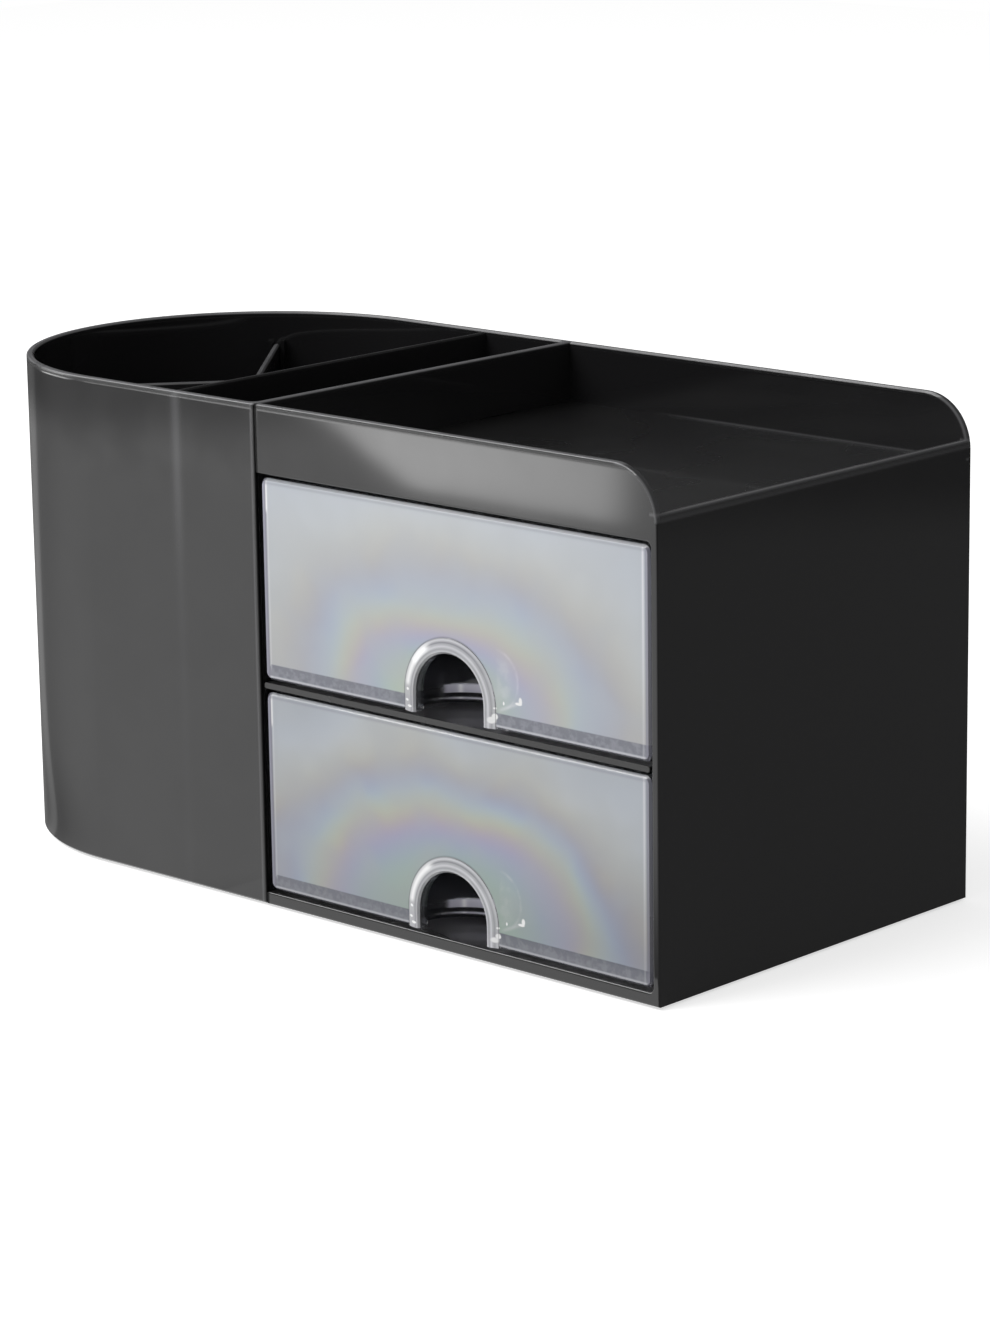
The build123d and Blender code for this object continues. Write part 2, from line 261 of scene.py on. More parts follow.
# Red, green and blue light, in nanometres, and how much wider than high the bands of strain are
WAVELENGTHS = (610.0, 550.0, 465.0)
BAND_STRETCH = 1.7


def strain_colours_group():
    """Colours of a clear moulding under polarised light. The strain is highest at the gate and falls off with the
    distance as one over one plus its power, and each colour shines as the squared sine of its own count of waves.
    A slow noise bends the bands, and a quicker one bends them a little more and makes them stronger and weaker."""
    tree, given, result = group_tree(
        "strain_colours",
        {"Gate X": 0.0, "Gate Z": 0.0, "Retardation": 1100.0, "Reach": 0.03, "Steepness": 2.4, "Contrast": 0.2},
        {"Tint": COLOUR})
    where, x, _, z = place(tree)
    slow = noise(tree, where, 26.0, 1.0)
    quick = noise(tree, where, 75.0, 1.0)
    stir = times_plus(tree, slow, 0.52, times_plus(tree, quick, 0.14, 0.67))
    contrast = times(tree, given["Contrast"], ramp(tree, quick, 0.35, 0.65, 0.70, 1.25))
    across = over(tree, minus(tree, x, given["Gate X"]), BAND_STRETCH)
    rise = minus(tree, z, given["Gate Z"])
    away = times(tree, reach_of(tree, rise, across), stir)
    share = maths(tree, "POWER", over(tree, away, given["Reach"]), given["Steepness"])
    delay = over(tree, given["Retardation"], plus(tree, share, 1.0))
    channels = []
    for wavelength in WAVELENGTHS:
        wave = maths(tree, "SINE", times(tree, delay, math.pi / wavelength))
        shine = minus(tree, times(tree, wave, wave), 0.5)
        channels.append(times_plus(tree, shine, contrast, 1.0))
    tint = add(tree, "ShaderNodeCombineColor", dict(enumerate(channels)))
    tree.links.new(tint.outputs[0], result["Tint"])
    return tree


MOULDED_SKIN = moulded_skin_group()
DUST = dust_group()
RIM_WEAR = rim_wear_group()
STRAIN_COLOURS = strain_colours_group()


# The black mouldings

BLACK = (0.0120, 0.0118, 0.0124, 1.0)
BLACK_WORN = (0.026, 0.026, 0.028, 1.0)
DUST_GREY = (0.16, 0.155, 0.15, 1.0)
CREST_HIGHLIGHT_GREY = (0.20, 0.20, 0.207, 1.0)
TRAY_LIT_GREY = (0.024, 0.024, 0.025, 1.0)
GAP_SHADE_BLACK = (0.002, 0.002, 0.002, 1.0)
SINK_HIGHLIGHT_GREY = (0.075, 0.075, 0.078, 1.0)
BLACK_IOR = 1.59
BLACK_COAT = 0.31


def black_plastic(name, outer_gloss, inner_gloss, rim_height, crest_highlight_share):
    """Glossy black plastic: a near-black body with mottled gloss, a worn and duller rim, and a little dust on top.
    Its marks are a painted highlight on the crest and a parting line at the rim, a gap painted dark as painted shade
    with a painted highlight on the edge beside it at the seam, a sink mark down the front where a rib stands behind
    the wall, which is a groove painted paler as a painted highlight, painted highlights along the tray's corner, lip
    and foot, and the tray's floor painted lighter towards the right as painted light."""
    material, tree, output = new_material(name)
    where, x, y, z = place(tree)
    up = normal_parts(tree)[2]
    below_rim = minus(tree, rim_height, z)
    front = fall(tree, y, FRONT_Y + 0.0005, FRONT_Y + 0.0015)
    skin = use_group(tree, MOULDED_SKIN, Wave_Size=0.035, Grain_Size=0.0005, Grain_Share=0.02)
    wear = use_group(tree, RIM_WEAR, Rim_Height=rim_height, Width=0.0012)
    dust = use_group(tree, DUST, Amount=0.08, Speck_Size=0.0007)

    # The rim: a painted highlight on its crest, a parting line in the bump and a duller band
    crest_highlight = times(tree, fall(tree, below_rim, 0.0002, 0.0006), ramp(tree, up, 0.25, 0.7))
    parting = line_of(tree, below_rim, 0.0011, 0.00025)
    rim_band = fall(tree, below_rim, 0.0008, 0.0018)

    # The seam beside the drawers: a painted highlight on the cup's edge, a duller soft band, and the gap painted
    # dark and unreflective as painted shade
    seam_edge_highlight = times(tree, line_of(tree, x, SEAM_X - 0.0012, 0.0003), front)
    seam_shade = times(tree, line_of(tree, x, SEAM_X, 0.0008), front)
    seam_gap_shade = times(tree, span_of(tree, x, SEAM_X - 0.0002, SEAM_X + 0.0010, 0.0002), front)

    # The sink mark, stronger towards the rim: a real groove in the bump, painted paler as a painted highlight
    near_top = ramp(tree, z, 0.02, rim_height, 0.25, 1.0)
    groove = times(tree, times(tree, line_of(tree, x, RIB_X, SINK_WIDTH / 2), near_top), front)
    sink_highlight = times(tree, groove, ramp(tree, z, rim_height - 0.055, rim_height - 0.012, 0.10, 0.80))

    # The tray's corner, lip and foot with painted highlights along them, and its floor painted lighter towards the
    # right as painted light
    corner_x = minus(tree, x, CORNER_X)
    corner_z = minus(tree, CORNER_RADIUS, below_rim)
    corner_highlight = line_of(tree, reach_of(tree, corner_x, corner_z), CORNER_RADIUS - 0.0003, 0.0003)
    in_corner = times(tree, ramp(tree, corner_x, 0.0, 0.001), ramp(tree, corner_z, 0.0, 0.001))
    corner_highlight = times(tree, corner_highlight, in_corner)
    at_end = ramp(tree, x, RIGHT_X - 0.0024, RIGHT_X - 0.0021)
    lip_highlight = times(tree, line_of(tree, below_rim, LIP_DROP + 0.0001, 0.0004), at_end)
    at_back = span_of(tree, y, BACK_Y - 0.0024, BACK_Y - 0.0012)
    foot_highlight = times(tree, line_of(tree, below_rim, TRAY_DROP - 0.0002, 0.0003), at_back)
    foot_highlight = times(tree, foot_highlight, ramp(tree, x, 0.02, 0.05))
    inside = times(tree, ramp(tree, up, 0.5, 0.9), ramp(tree, below_rim, 0.012, 0.015))
    # Painted light: the tray's floor is painted lighter towards the right
    lit_tray_floor = times(tree, inside, ramp(tree, x, 0.01, 0.11))

    # Real wear on the rim, with the sink groove painted paler as a painted highlight
    wear_and_sink_highlight = times_plus(tree, wear["Mask"], 0.35, times(tree, groove, 0.55))
    body = lay_over(tree, mix_colour(tree, wear_and_sink_highlight, BLACK, BLACK_WORN), (
        (sink_highlight, 1.0, SINK_HIGHLIGHT_GREY), (crest_highlight, crest_highlight_share, CREST_HIGHLIGHT_GREY), (seam_edge_highlight, 0.30, CREST_HIGHLIGHT_GREY),
        (corner_highlight, 0.55, CREST_HIGHLIGHT_GREY), (lip_highlight, 0.35, CREST_HIGHLIGHT_GREY), (foot_highlight, 0.28, CREST_HIGHLIGHT_GREY),
        (seam_gap_shade, 0.90, GAP_SHADE_BLACK), (dust["Mask"], 1.0, DUST_GREY), (lit_tray_floor, 1.0, TRAY_LIT_GREY)))

    gloss = ramp(tree, inside, 0.0, 1.0, outer_gloss, inner_gloss)
    gloss = times(tree, gloss, ramp(tree, skin["Mottle"], 0.3, 0.7, 0.9, 1.12))
    for mask, duller in ((wear["Mask"], 0.20), (seam_shade, 0.60), (rim_band, 0.20)):
        gloss = times_plus(tree, mask, duller, gloss)

    blotch = ramp(tree, noise(tree, where, 60.0, 2.0), 0.35, 0.65, -0.13, 0.13)
    blotch = times(tree, blotch, ramp(tree, below_rim, 0.014, 0.030, 1.0, 0.2))
    blotch = times(tree, blotch, ramp(tree, x, SEAM_X - 0.001, SEAM_X + 0.001, 1.0, 0.3))
    coat = times(tree, plus(tree, blotch, BLACK_COAT), minus(tree, 1.0, seam_shade))
    coat = times(tree, coat, times_plus(tree, rim_band, -0.7, 1.0))

    height = times_plus(tree, groove, -0.8, skin["Height"])
    height = times_plus(tree, parting, -0.8, height)
    bump = add(tree, "ShaderNodeBump", {"Height": height, "Distance": 0.00003, "Strength": 1.0})
    shader = add(tree, "ShaderNodeBsdfPrincipled",
                 {"Base Color": body, "Roughness": gloss, "Metallic": times(tree, seam_gap_shade, 0.9),
                  "IOR": BLACK_IOR, "Normal": bump.outputs[0],
                  "Coat Weight": coat, "Coat Roughness": 0.045, "Coat IOR": 1.5})
    tree.links.new(shader.outputs[0], output.inputs["Surface"])
    return material


# The clear drawers

PEARL = (0.500, 0.526, 0.560, 1.0)
RING_GREY = (0.50, 0.50, 0.525, 1.0)
LINE_SHADE = (0.10, 0.10, 0.12, 1.0)
LINE_HIGHLIGHT = (0.86, 0.86, 0.90, 1.0)
WHITE = (1.0, 1.0, 1.0, 1.0)
HOOD_GLOW_GREY = (0.55, 0.54, 0.62, 1.0)
HOOD_HIGHLIGHT_MIST = (0.66, 0.69, 0.70, 1.0)
HOOD_SHADE_TINT = (0.55, 0.55, 0.58, 1.0)
FRAME_GREY = (0.25, 0.245, 0.31, 1.0)
SIDE_GREY = (0.34, 0.335, 0.42, 1.0)
FOOT_DARK = (0.190, 0.199, 0.243, 1.0)
FOOT_LIGHT = (0.272, 0.281, 0.325, 1.0)
FOOT_LIP_GREY = (0.48, 0.49, 0.54, 1.0)
CLEAR = (0.96, 0.97, 0.98, 1.0)
CLEAR_TO_LAMPS = (0.9, 0.9, 0.91, 1.0)
CLEAR_IOR = 1.5

# Glints on the feet of the arch and of the hood: aside and height from the arch's foot, half width, half height
GLINTS = (
    (-0.0139, 0.0056, 0.0006, 0.0004), (-0.0142, 0.0028, 0.0008, 0.0004), (-0.0132, 0.0014, 0.0010, 0.0004),
    (0.0141, 0.0021, 0.0013, 0.0009), (0.0150, 0.0031, 0.0009, 0.0008), (0.0150, 0.0052, 0.0005, 0.0003),
    (0.0233, 0.0082, 0.0006, 0.0010), (0.0226, 0.0074, 0.0012, 0.0004), (0.0178, 0.0068, 0.0003, 0.0005),
)

# Fine lines of painted highlight and painted shade that run round the arch: distance from the line of centres,
# half width, colour, strength at the left, at the top and at the right
ARCH_HIGHLIGHT_AND_SHADE_LINES = (
    (0.01530, 0.00022, LINE_SHADE, 0.75, 0.40, 0.12),
    (0.01395, 0.00090, WHITE, 1.0, 0.0, 0.0),
    (0.01475, 0.00022, LINE_HIGHLIGHT, 0.0, 0.60, 0.30),
    (0.01410, 0.00020, LINE_SHADE, 0.0, 0.45, 0.25),
    (0.01320, 0.00030, LINE_HIGHLIGHT, 0.0, 0.50, 0.70),
    (0.01255, 0.00018, LINE_SHADE, 0.35, 0.22, 0.35),
    (0.01190, 0.00025, LINE_HIGHLIGHT, 0.10, 0.35, 0.45),
)


def paint_hood_side_highlights(tree, face, aside, height, cloud):
    """The hood's right side, seen through the plate, as painted highlights: a paler zone round its shoulder, broken
    up by noise, with an arc at a fixed distance from the shoulder and a slanting line at its foot."""
    from_shoulder = reach_of(tree, minus(tree, aside, SHOULDER_ASIDE), minus(tree, height, SHOULDER_HEIGHT))
    side = times(tree, ramp(tree, aside, 0.0150, 0.0165), ramp(tree, height, 0.0045, 0.0065))
    side = times(tree, side, ramp(tree, cloud, 0.35, 0.65, 0.25, 1.0))
    zone = times(tree, fall(tree, from_shoulder, 0.0045, 0.0080), side)
    arc = times(tree, line_of(tree, from_shoulder, 0.0076, 0.0004), side)
    slant = line_of(tree, times_plus(tree, aside, -0.42, height), -0.0020, 0.0005)
    slant = times(tree, slant, span_of(tree, aside, 0.0165, 0.0235, 0.001))
    return lay_over(tree, face, ((zone, 0.45, HOOD_HIGHLIGHT_MIST), (arc, 0.28, LINE_HIGHLIGHT), (slant, 0.40, LINE_HIGHLIGHT)))


def paint_bin_frame(tree, face, where, x, height):
    """The frame that the bin's walls and floor make behind the plate: a grained strip along the foot that ends in
    a mitre at the left, a strip up each side, and fine painted highlights and painted shade along all four edges."""
    left = minus(tree, x, PLATE_LEFT)
    right = minus(tree, PLATE_RIGHT, x)
    top = minus(tree, PLATE_HEIGHT, height)
    grain = plus(tree, noise(tree, where, 700.0, 3.0), ramp(tree, height, 0.0020, 0.0032, 0.12, 0.0))
    foot_colour = mix_colour(tree, ramp(tree, grain, 0.42, 0.75), FOOT_DARK, FOOT_LIGHT)
    mitre = fall(tree, times_plus(tree, left, -2.0, height), -0.0005, 0.0003)
    foot = times(tree, fall(tree, height, 0.0039, 0.0043), mitre)
    foot_lip = times(tree, foot, fall(tree, height, 0.0010, 0.0014))
    # Painted highlights along the foot, the left, the right and the top, a painted white highlight high on the left,
    # and painted shade lines
    foot_highlight = line_of(tree, height, 0.0009, 0.00022)
    left_side = fall(tree, left, 0.0015, 0.0020)
    left_shade_line = line_of(tree, left, 0.0015, 0.00035)
    left_highlight = times(tree, line_of(tree, left, 0.0022, 0.00026), ramp(tree, height, 0.002, 0.004))
    left_white_highlight = times(tree, line_of(tree, left, 0.0019, 0.00026), span_of(tree, top, 0.0012, 0.0085, 0.001))
    edge_highlight = line_of(tree, left, 0.00015, 0.00018)
    right_side = fall(tree, right, 0.0012, 0.0017)
    right_highlight = line_of(tree, right, 0.0021, 0.0003)
    right_highlight = times(tree, right_highlight, ramp(tree, height, 0.003, 0.040, 0.35, 1.0))
    top_shade = line_of(tree, top, 0.0012, 0.0004)
    top_highlight = times(tree, line_of(tree, top, 0.0004, 0.0003), ramp(tree, left, 0.015, 0.06, 0.35, 1.0))
    return lay_over(tree, face, (
        (foot, 0.95, foot_colour), (foot_lip, 0.55, FOOT_LIP_GREY), (foot_highlight, 0.50, LINE_HIGHLIGHT),
        (left_side, 0.95, SIDE_GREY), (left_shade_line, 0.35, LINE_SHADE), (edge_highlight, 0.35, LINE_HIGHLIGHT),
        (left_highlight, 0.35, LINE_HIGHLIGHT), (left_white_highlight, 0.95, WHITE), (right_side, 0.75, FRAME_GREY),
        (right_highlight, 0.70, LINE_HIGHLIGHT), (top_shade, 0.35, FRAME_GREY), (top_highlight, 0.75, LINE_HIGHLIGHT)))


def paint_bead(tree, face, aside, height, cloud):
    """The bead round the finger opening: a grey ring within a reach of the arch's line of centres, with fine lines
    of painted highlight and painted shade at fixed reaches and painted glints at its feet. The lean, which is aside
    divided by reach, tells the left leg, the top and the right leg apart. A glint is an oval whose edge is broken up
    by noise."""
    rise = maths(tree, "MAXIMUM", minus(tree, height, ARCH_LEG), 0.0)
    arch_reach = reach_of(tree, aside, rise)
    on_bead = fall(tree, arch_reach, BEAD_REACH, BEAD_REACH + 0.0002)
    lean = over(tree, aside, arch_reach)
    to_left = fall(tree, lean, -0.62, -0.38)
    to_right = ramp(tree, lean, 0.35, 0.85)
    at_top = minus(tree, minus(tree, 1.0, to_left), to_right)
    face = lay_over(tree, face, ((on_bead, 0.9, RING_GREY),))
    above_foot = times(tree, to_left, ramp(tree, rise, 0.0010, 0.0026))
    # Lines of painted highlight and painted shade round the arch, then painted glints at its feet
    for reach_at, half_width, colour, at_left, over_top, at_right in ARCH_HIGHLIGHT_AND_SHADE_LINES:
        strength = times(tree, above_foot if colour == WHITE else to_left, at_left)
        strength = times_plus(tree, at_top, over_top, strength)
        strength = times_plus(tree, to_right, at_right, strength)
        mask = times(tree, line_of(tree, arch_reach, reach_at, half_width), strength)
        face = mix_colour(tree, mask, face, colour)
    for glint_aside, glint_height, half_width, half_height in GLINTS:
        off_aside = over(tree, minus(tree, aside, glint_aside), half_width)
        off_height = over(tree, minus(tree, height, glint_height), half_height)
        off = times_plus(tree, cloud, 1.2, square_sum(tree, off_aside, off_height))
        face = mix_colour(tree, fall(tree, off, 0.9, 1.8), face, WHITE)
    return face


def hood_painted_light(tree, y, aside, height, behind):
    """Where light is painted on the hood's wall: a band above the floor and a fine line at its foot, up to its back.
    """
    band = times(tree, span_of(tree, height, 0.0025, 0.0046, 0.00015), span_of(tree, aside, -0.0125, 0.004, 0.0006))
    foot = times(tree, line_of(tree, height, 0.0011, 0.0003), span_of(tree, aside, -0.0125, 0.004, 0.003))
    light = times(tree, maths(tree, "MAXIMUM", band, foot), behind)
    return times(tree, light, fall(tree, y, HOOD_BACK_Y - 0.0008, HOOD_BACK_Y - 0.0002))


def clear_drawer(name, low, retardation, reach, steepness, contrast, shaded_foot_level, lit_top_level):
    """A clear drawer moulding. Its front is pearly with bands of strain colour, and shows the bin's walls, the floor
    and the hood behind it as paler and darker lines of painted highlight and painted shade. The hood's glass is
    tinted darker as painted shade in the finger recess, and all the rest is glassy. The front's brightness goes from
    one level at the foot of the plate to another at its top, as painted light and shade."""
    material, tree, output = new_material(name)
    where, x, y, z = place(tree)
    plate_foot = low.z + SKID_HEIGHT
    height = minus(tree, z, plate_foot)
    aside = minus(tree, x, ARCH_X)
    behind = ramp(tree, y, PLATE_BACK_Y + 0.001, PLATE_BACK_Y + 0.002)
    cloud = noise(tree, where, 330.0, 2.0)
    strain = use_group(tree, STRAIN_COLOURS, Gate_X=ARCH_X, Gate_Z=plate_foot + ARCH_LEG,
                       Retardation=retardation, Reach=reach, Steepness=steepness, Contrast=contrast)
    face = mix_colour(tree, 1.0, PEARL, strain["Tint"], "MULTIPLY")
    face = paint_hood_side_highlights(tree, face, aside, height, cloud)
    face = paint_bin_frame(tree, face, where, x, height)
    # Painted light and shade: the front is darker towards its foot, and the lower drawer is set darker than the
    # upper
    level = ramp(tree, height, 0.0, PLATE_HEIGHT, shaded_foot_level, lit_top_level)
    face = mix_colour(tree, 1.0, face, level, "MULTIPLY")
    face = paint_bead(tree, face, aside, height, cloud)
    # Painted light on the hood's wall, with a painted highlight in it
    hood_glow = hood_painted_light(tree, y, aside, height, behind)
    hood_glint = times(tree, line_of(tree, aside, -0.0097, 0.0005), hood_glow)
    face = lay_over(tree, face, ((hood_glow, 1.0, HOOD_GLOW_GREY), (hood_glint, 0.85, WHITE)))

    skin = use_group(tree, MOULDED_SKIN, Wave_Size=0.03, Grain_Size=0.0007, Grain_Share=0.02)
    bump = add(tree, "ShaderNodeBump", {"Height": skin["Height"], "Distance": 0.00002, "Strength": 0.5})
    milky = add(tree, "ShaderNodeBsdfPrincipled",
                {"Base Color": face, "Roughness": 0.2, "IOR": CLEAR_IOR, "Normal": bump.outputs[0],
                 "Coat Weight": 0.5, "Coat Roughness": 0.03})
    # The hood's glass is tinted darker: painted shade in the finger recess
    in_hood = times(tree, behind, fall(tree, y, HOOD_BACK_Y, HOOD_BACK_Y + 0.0015))
    in_hood = times(tree, in_hood, span_of(tree, aside, -0.0172, 0.0172))
    glass = add(tree, "ShaderNodeBsdfPrincipled",
                {"Base Color": mix_colour(tree, in_hood, CLEAR, HOOD_SHADE_TINT), "Roughness": 0.02, "IOR": CLEAR_IOR,
                 "Normal": bump.outputs[0], "Transmission Weight": 1.0})
    passing = add(tree, "ShaderNodeBsdfTransparent", {"Color": CLEAR_TO_LAMPS})
    lamp_ray = add(tree, "ShaderNodeLightPath").outputs["Is Shadow Ray"]
    clear = add(tree, "ShaderNodeMixShader", {0: lamp_ray, 1: glass.outputs[0], 2: passing.outputs[0]})

    # How milky each place is: the front plate where it faces forward, the hood's painted light, and faintly past it
    on_front = fall(tree, y, PLATE_BACK_Y - 0.0012, PLATE_BACK_Y - 0.0006)
    faces_front = ramp(tree, times(tree, normal_parts(tree)[1], -1.0), 0.35, 0.95, 0.12, 0.86)
    cover = times(tree, on_front, faces_front)
    cover = maths(tree, "MAXIMUM", cover, times(tree, hood_glow, 0.8))
    past_hood = ramp(tree, y, HOOD_BACK_Y - 0.002, HOOD_BACK_Y + 0.002, 0.0, 0.04)
    cover = maths(tree, "MAXIMUM", cover, past_hood)
    both = add(tree, "ShaderNodeMixShader", {0: cover, 1: clear.outputs[0], 2: milky.outputs[0]})
    tree.links.new(both.outputs[0], output.inputs["Surface"])
    return material


# The foot pads

RUBBER = (0.012, 0.012, 0.012, 1.0)
RUBBER_DUSTY = (0.03, 0.029, 0.028, 1.0)


def pad_rubber():
    """Matt black rubber with a fine even grain and dust rubbed into it."""
    material, tree, output = new_material("pad_rubber")
    skin = use_group(tree, MOULDED_SKIN, Wave_Size=0.004, Grain_Size=0.0003, Grain_Share=0.6)
    body = mix_colour(tree, skin["Mottle"], RUBBER, RUBBER_DUSTY)
    bump = add(tree, "ShaderNodeBump", {"Height": skin["Height"], "Distance": 0.00006, "Strength": 1.0})
    shader = add(tree, "ShaderNodeBsdfPrincipled",
                 {"Base Color": body, "Roughness": 0.75, "Normal": bump.outputs[0]})
    tree.links.new(shader.outputs[0], output.inputs["Surface"])
    return material


def dress(material, *names):
    """The CAD nodes of these names get this material in every slot."""
    for name in names:
        for slot in NODES[name].material_slots:
            slot.material = material


dress(black_plastic("black_outer", outer_gloss=0.065, inner_gloss=0.28, rim_height=RIM_Z, crest_highlight_share=0.65),
      "pen_cup", "cabinet_shell")
dress(black_plastic("black_inner", outer_gloss=0.26, inner_gloss=0.30, rim_height=RIM_Z - PARTITION_DROP,
                    crest_highlight_share=0.3),
      "pen_partition", "middle_shelf")
dress(clear_drawer("clear_upper", UPPER_LOW, retardation=1500.0, reach=0.0250, steepness=2.42, contrast=0.16,
                   shaded_foot_level=0.96, lit_top_level=1.08),
      "upper_drawer")
dress(clear_drawer("clear_lower", LOWER_LOW, retardation=1340.0, reach=0.0335, steepness=4.0, contrast=0.21,
                   shaded_foot_level=0.74, lit_top_level=0.90),
      "lower_drawer")
dress(pad_rubber(), *[name for name in NODES if name.startswith("foot_pad")])


# The stage: a pale floor and a pale surrounding, what a gloss sees of them, a soft lamp and the camera. The floor's
# gloss is laid out for one fixed side of the object, the photographed one, and nothing in it reads the camera.

FLOOR_REACH = 2.0
FLOOR_GREY = (0.85, 0.85, 0.85, 1.0)
FLOOR_LIFT = 0.64
ROOM_LEVEL = 0.35
PHOTO_TURN = math.radians(AZIMUTH)
PATCH_Y = -0.475
PATCH_LEVEL = 3.15
PANEL_LEVEL = 3.6
PANEL_TURN = math.radians(71)
DARK_SIDE = direction_to(-137, 13)


def glow(tree, kind, level, colour=WHITE):
    """An emission or background of one level, white unless it is given a colour."""
    return add(tree, kind, {"Color": colour, "Strength": level}).outputs[0]


def turn_of(tree, x, y):
    """The turn of a place or direction, in radians: 0 in front of the object, and growing round by its left."""
    return maths(tree, "ARCTAN2", times(tree, x, -1.0), times(tree, y, -1.0))


def on_panel(tree, turn):
    """1 across the bright panel and 0 past its soft edges to either side."""
    return turn_ramp(tree, maths(tree, "ABSOLUTE", minus(tree, turn, PANEL_TURN)), 11, 15, 1.0, 0.0)


def floor_gloss(tree, x, y):
    """What a gloss sees of the floor. By its turn round the cup's axis it is white at the front left and fades to a
    dark card behind. Near the cup the turn is bent away from the photographed side, by the square of the cup's
    radius over the distance. It is white before the sill, duller past the reach of the light, and holds one soft
    bright patch with slanted sides and, far out, the foot of the bright panel."""
    from_cup = minus(tree, x, CUP_AXIS_X)
    turn = turn_of(tree, from_cup, y)
    away = reach_of(tree, y, from_cup)
    near = over(tree, CUP_RADIUS, maths(tree, "MAXIMUM", away, CUP_RADIUS))
    near = times(tree, near, near)
    bend = times_plus(tree, plus(tree, turn, PHOTO_TURN), near, turn)
    level = turn_ramp(tree, bend, 38, 98, 0.97, 0.25)
    card_edge = times(tree, turn_ramp(tree, bend, 96, 101), turn_ramp(tree, bend, 101, 122, 0.14, -0.05))
    level = plus(tree, level, card_edge)
    level = times(tree, level, turn_ramp(tree, turn, -78, -21, 0.134, 1.0))
    level = times(tree, level, turn_ramp(tree, turn, 150, 175, 1.0, 0.65))
    before_sill = times(tree, span_of(tree, y, FRONT_Y - 0.019, FRONT_Y + 0.001, 0.001),
                        span_of(tree, x, SEAM_X - 0.02, RIGHT_X + 0.001, 0.001))
    level = maths(tree, "MAXIMUM", level, before_sill)
    level = times(tree, level, ramp(tree, away, 0.615, 0.735, 1.0, 0.5))

    depth = minus(tree, PATCH_Y, y)
    past_left = times_plus(tree, depth, 1.55, plus(tree, x, 0.355))
    past_right = times_plus(tree, depth, 0.864, plus(tree, x, 0.25))
    patch = times(tree, ramp(tree, past_left, -0.009, 0.009), fall(tree, past_right, -0.012, 0.012))
    patch_level = ramp(tree, past_right, -0.12, 0.0, PATCH_LEVEL, PATCH_LEVEL * 0.78)
    patch_level = times(tree, patch_level, ramp(tree, depth, -0.005, 0.005, 0.08, 1.0))
    patch_level = times(tree, patch_level, ramp(tree, depth, -0.05, -0.03))
    level = times_plus(tree, patch, patch_level, level)
    far_panel = times(tree, ramp(tree, away, 0.86, 0.94), on_panel(tree, turn))
    return times_plus(tree, far_panel, PANEL_LEVEL, level)


def floor_material():
    """A pale floor that keeps the shadow, lifted to white for the eye and through clear plastic."""
    material, tree, output = new_material("floor_pale")
    _, x, y, _ = place(tree)
    rays = add(tree, "ShaderNodeLightPath").outputs
    seen = maths(tree, "MAXIMUM", rays["Is Camera Ray"], rays["Is Transmission Ray"])
    plain = add(tree, "ShaderNodeBsdfDiffuse", {"Color": FLOOR_GREY})
    lift = glow(tree, "ShaderNodeEmission", FLOOR_LIFT)
    unlifted = glow(tree, "ShaderNodeEmission", 0.0)
    lifted = add(tree, "ShaderNodeMixShader", {0: seen, 1: unlifted, 2: lift})
    direct = add(tree, "ShaderNodeAddShader", {0: plain.outputs[0], 1: lifted.outputs[0]})
    mirrored = glow(tree, "ShaderNodeEmission", floor_gloss(tree, x, y))
    both = add(tree, "ShaderNodeMixShader", {0: rays["Is Glossy Ray"], 1: direct.outputs[0], 2: mirrored})
    tree.links.new(both.outputs[0], output.inputs["Surface"])
    material.cycles.emission_sampling = "NONE"
    return material


def make_floor():
    """A flat square sheet round the object, from its four corners."""
    corners = np.array([(-1, -1, 0), (1, -1, 0), (1, 1, 0), (-1, 1, 0)], float) * FLOOR_REACH
    mesh = bpy.data.meshes.new("floor")
    mesh.from_pydata(corners.tolist(), [], [(0, 1, 2, 3)])
    mesh.materials.append(floor_material())
    floor = bpy.data.objects.new("floor", mesh)
    bpy.context.scene.collection.objects.link(floor)


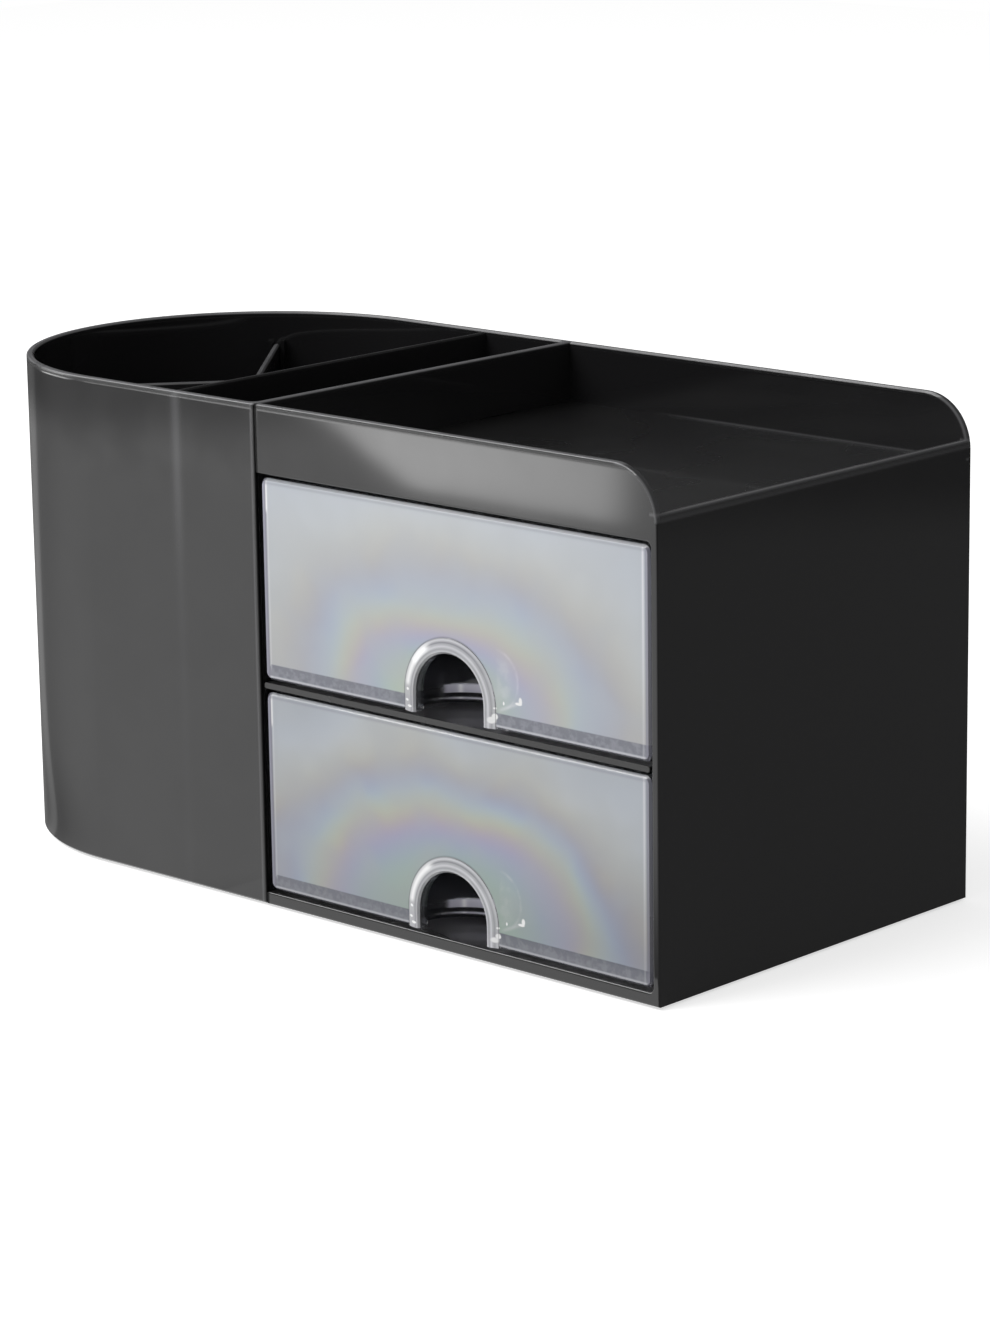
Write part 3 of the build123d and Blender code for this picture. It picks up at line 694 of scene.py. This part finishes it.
def make_world():
    """White to the eye and through clear plastic, and an even pale surrounding for light. In a gloss it is a dark
    room, darkest opposite the photographed side, with one tall bright panel at the left."""
    world = bpy.data.worlds.new("surroundings")
    bpy.context.scene.world = world
    world.use_nodes = True
    tree = world.node_tree
    tree.nodes.clear()
    rays = add(tree, "ShaderNodeLightPath").outputs
    direction = add(tree, "ShaderNodeTexCoord").outputs["Generated"]
    x, y, z = add(tree, "ShaderNodeSeparateXYZ", {0: direction}).outputs
    behind = add(tree, "ShaderNodeVectorMath", {0: direction, 1: DARK_SIDE}, operation="DOT_PRODUCT")
    level = ramp(tree, behind.outputs["Value"], 0.3, 0.9, 0.10, 0.045)
    panel_top = fall(tree, z, math.sin(math.radians(40)), math.sin(math.radians(50)))
    panel = times(tree, on_panel(tree, turn_of(tree, x, y)), panel_top)
    dark_room = glow(tree, "ShaderNodeBackground", times_plus(tree, panel, PANEL_LEVEL, level))
    pale = glow(tree, "ShaderNodeBackground", ROOM_LEVEL)
    white = glow(tree, "ShaderNodeBackground", 1.0)
    around = add(tree, "ShaderNodeMixShader", {0: rays["Is Glossy Ray"], 1: pale, 2: dark_room})
    seen = maths(tree, "MAXIMUM", rays["Is Camera Ray"], rays["Is Transmission Ray"])
    both = add(tree, "ShaderNodeMixShader", {0: seen, 1: around.outputs[0], 2: white})
    output = add(tree, "ShaderNodeOutputWorld")
    tree.links.new(both.outputs[0], output.inputs["Surface"])
    world.cycles.sampling_method = "NONE"


def soft_lamp(name, azimuth, elevation, distance, width, height, power):
    """A rectangular area lamp aimed at the middle of the object: angles in degrees, sizes in metres, watts."""
    data = bpy.data.lights.new(name, "AREA")
    data.shape = "RECTANGLE"
    data.size, data.size_y, data.energy = width, height, power
    lamp = bpy.data.objects.new(name, data)
    bpy.context.scene.collection.objects.link(lamp)
    towards = direction_to(azimuth, elevation)
    lamp.rotation_mode = "QUATERNION"
    lamp.location = AIM + towards * distance
    lamp.rotation_quaternion = towards.to_track_quat("Z", "Y")
    lamp.visible_camera = False


def make_camera():
    """A long lens at the photographed height and turn, rolled by the photograph's lean."""
    towards = direction_to(AZIMUTH, ELEVATION)
    roll = math.radians(ROLL)
    right = towards.cross(Vector((0, 0, -1))).normalized()
    up = towards.cross(right)
    turned_right = right * math.cos(roll) + up * math.sin(roll)
    turned_up = up * math.cos(roll) - right * math.sin(roll)
    data = bpy.data.cameras.new("camera")
    data.lens = FOCAL_LENGTH
    data.clip_start, data.clip_end = 0.01, 20.0
    camera = bpy.data.objects.new("camera", data)
    bpy.context.scene.collection.objects.link(camera)
    turn = Matrix((turned_right, turned_up, towards)).transposed().to_4x4()
    camera.matrix_world = Matrix.Translation(AIM + towards * DISTANCE) @ turn
    bpy.context.scene.camera = camera


make_floor()
make_world()
soft_lamp("key_lamp", azimuth=-35, elevation=50, distance=1.6, width=1.4, height=1.0, power=22)
make_camera()
bpy.context.scene.view_settings.view_transform = "Standard"

bpy.context.view_layer.update()
